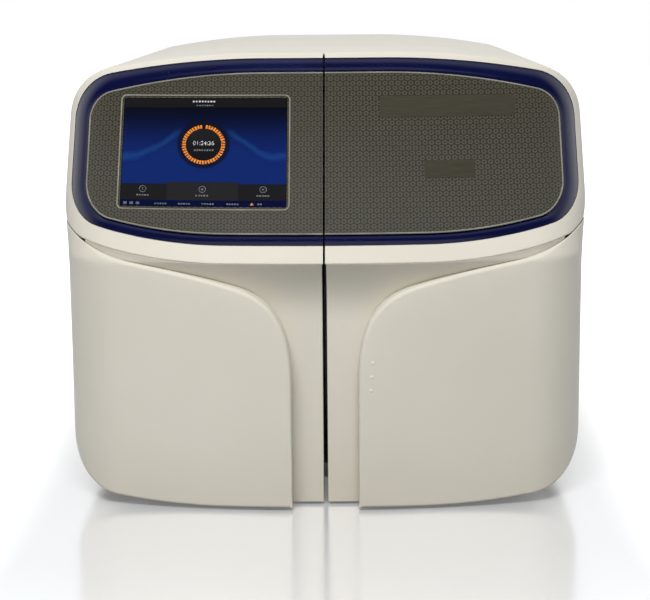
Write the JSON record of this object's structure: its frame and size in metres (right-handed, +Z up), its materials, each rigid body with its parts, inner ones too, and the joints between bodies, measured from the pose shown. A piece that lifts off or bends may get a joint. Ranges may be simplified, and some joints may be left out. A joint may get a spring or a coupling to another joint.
{
  "type": "benchtop sequencer",
  "caption": "Benchtop sequencer with a tilted touchscreen fascia, a side-hinged front door over a reagent compartment, and ventilated electronics behind.",
  "frame": {"origin": "centre of the footprint on the bench, under the feet", "axes": "+X to the right as seen from the front, +Y to the rear, +Z up; the front faces -Y"},
  "size_m": [0.5446, 0.8124, 0.4525],
  "materials": {
    "pale_shell": "satin ivory moulding",
    "navy_bezel": "high gloss navy",
    "patterned_plate": "satin olive grey with a fine flower pattern",
    "bare_label": "satin, left bare",
    "display_glass": "display behind clear glass",
    "light_pipe": "milky light pipe",
    "rear_paint": "fine textured light grey powder coat",
    "zinc_sheet": "zinc plated sheet",
    "inner_moulding": "fine matt moulding",
    "hinge_steel": "satin stainless steel",
    "black_plastic": "fine matt black",
    "foot_rubber": "matt",
    "tray_plastic": "matt grey",
    "cartridge_plastic": "satin white",
    "bottle_plastic": "translucent white polyethylene",
    "blue_cap": "satin blue",
    "orange_cap": "satin orange",
    "clamp_aluminium": "bead blasted and anodised",
    "chip_plastic": "matt green-grey",
    "valve_plastic": "natural engineering plastic",
    "circuit_board": "green solder mask",
    "connector_metal": "plated steel shell"
  },
  "bodies": {
    "chassis": {"base_pan": "zinc_sheet", "feet": "foot_rubber", "centre_partition": "zinc_sheet", "front_bulkhead": "zinc_sheet", "compartment_liner": "inner_moulding", "deck_shelf": "zinc_sheet", "top_cover": "pale_shell", "side_cover_left": "pale_shell", "side_cover_right": "pale_shell", "rear_panel": "rear_paint", "front_carrier_left": "inner_moulding", "fascia_frame_left": "pale_shell", "column_left": "pale_shell", "wing_left": "pale_shell", "bezel_left": "navy_bezel", "fascia_plate_left": "patterned_plate", "screen_glass": "display_glass", "display_module": "black_plastic", "hinge_brackets": "hinge_steel", "hinge_pins": "hinge_steel", "door_magnets": "black_plastic", "cartridge_bay": "tray_plastic", "bottle_guides": "tray_plastic", "waste_tray": "tray_plastic", "chip_clamp_base": "clamp_aluminium", "sequencing_chip": "chip_plastic", "clamp_pin": "hinge_steel", "valve_block": "valve_plastic", "tubing": "valve_plastic", "power_supply": "clamp_aluminium", "mainboard": "circuit_board", "fan_frames": "black_plastic", "fan_grilles": "hinge_steel", "power_inlet": "black_plastic", "switch_housing": "black_plastic", "network_port": "connector_metal", "usb_ports": "connector_metal", "rear_screws": "hinge_steel"},
    "door": {"door_liner": "inner_moulding", "door_frame": "pale_shell", "door_column": "pale_shell", "door_wing": "pale_shell", "door_bezel": "navy_bezel", "door_plate": "patterned_plate", "label_plates": "bare_label", "status_lights": "light_pipe", "door_hinge_leaves": "hinge_steel", "door_strike_plates": "hinge_steel"},
    "reagent_cartridge_body": {"reagent_cartridge": "cartridge_plastic"},
    "wash_bottle_body": {"wash_bottle": "bottle_plastic", "wash_cap": "blue_cap"},
    "cleaning_bottle_body": {"cleaning_bottle": "bottle_plastic", "cleaning_cap": "orange_cap"},
    "waste_tank_body": {"waste_tank": "bottle_plastic"},
    "clamp_lever": {"chip_clamp_lever": "clamp_aluminium"},
    "rocker": {"rocker_switch": "black_plastic"},
    "fan_left": {"fan_rotor_left": "black_plastic"},
    "fan_right": {"fan_rotor_right": "black_plastic"}
  },
  "joints": [
    {"name": "door_swing", "type": "hinge", "parent": "chassis", "child": "door", "pos_m": [0.269, -0.2126, 0.24], "axis": [0, 0, 1], "range_deg": [0, 105]},
    {"name": "cartridge_slide", "type": "slide", "parent": "chassis", "child": "reagent_cartridge_body", "axis": [0, -1, 0], "range_m": [0, 0.07]},
    {"name": "wash_bottle_slide", "type": "slide", "parent": "chassis", "child": "wash_bottle_body", "axis": [0, -1, 0], "range_m": [0, 0.04]},
    {"name": "cleaning_bottle_slide", "type": "slide", "parent": "chassis", "child": "cleaning_bottle_body", "axis": [0, -1, 0], "range_m": [0, 0.035]},
    {"name": "waste_tank_slide", "type": "slide", "parent": "chassis", "child": "waste_tank_body", "axis": [0, -1, 0], "range_m": [0, 0.06]},
    {"name": "clamp_lever_swing", "type": "hinge", "parent": "chassis", "child": "clamp_lever", "pos_m": [0.06, -0.1345, 0.287], "axis": [-1, 0, 0], "range_deg": [0, 70]},
    {"name": "rocker_tilt", "type": "hinge", "parent": "chassis", "child": "rocker", "pos_m": [-0.153, 0.3925, 0.074], "axis": [-1, 0, 0], "range_deg": [0, 20]},
    {"name": "fan_left_spin", "type": "hinge", "parent": "chassis", "child": "fan_left", "pos_m": [-0.128, 0.3835, 0.25], "axis": [0, 1, 0], "continuous": true},
    {"name": "fan_right_spin", "type": "hinge", "parent": "chassis", "child": "fan_right", "pos_m": [0.128, 0.3835, 0.25], "axis": [0, 1, 0], "continuous": true}
  ]
}
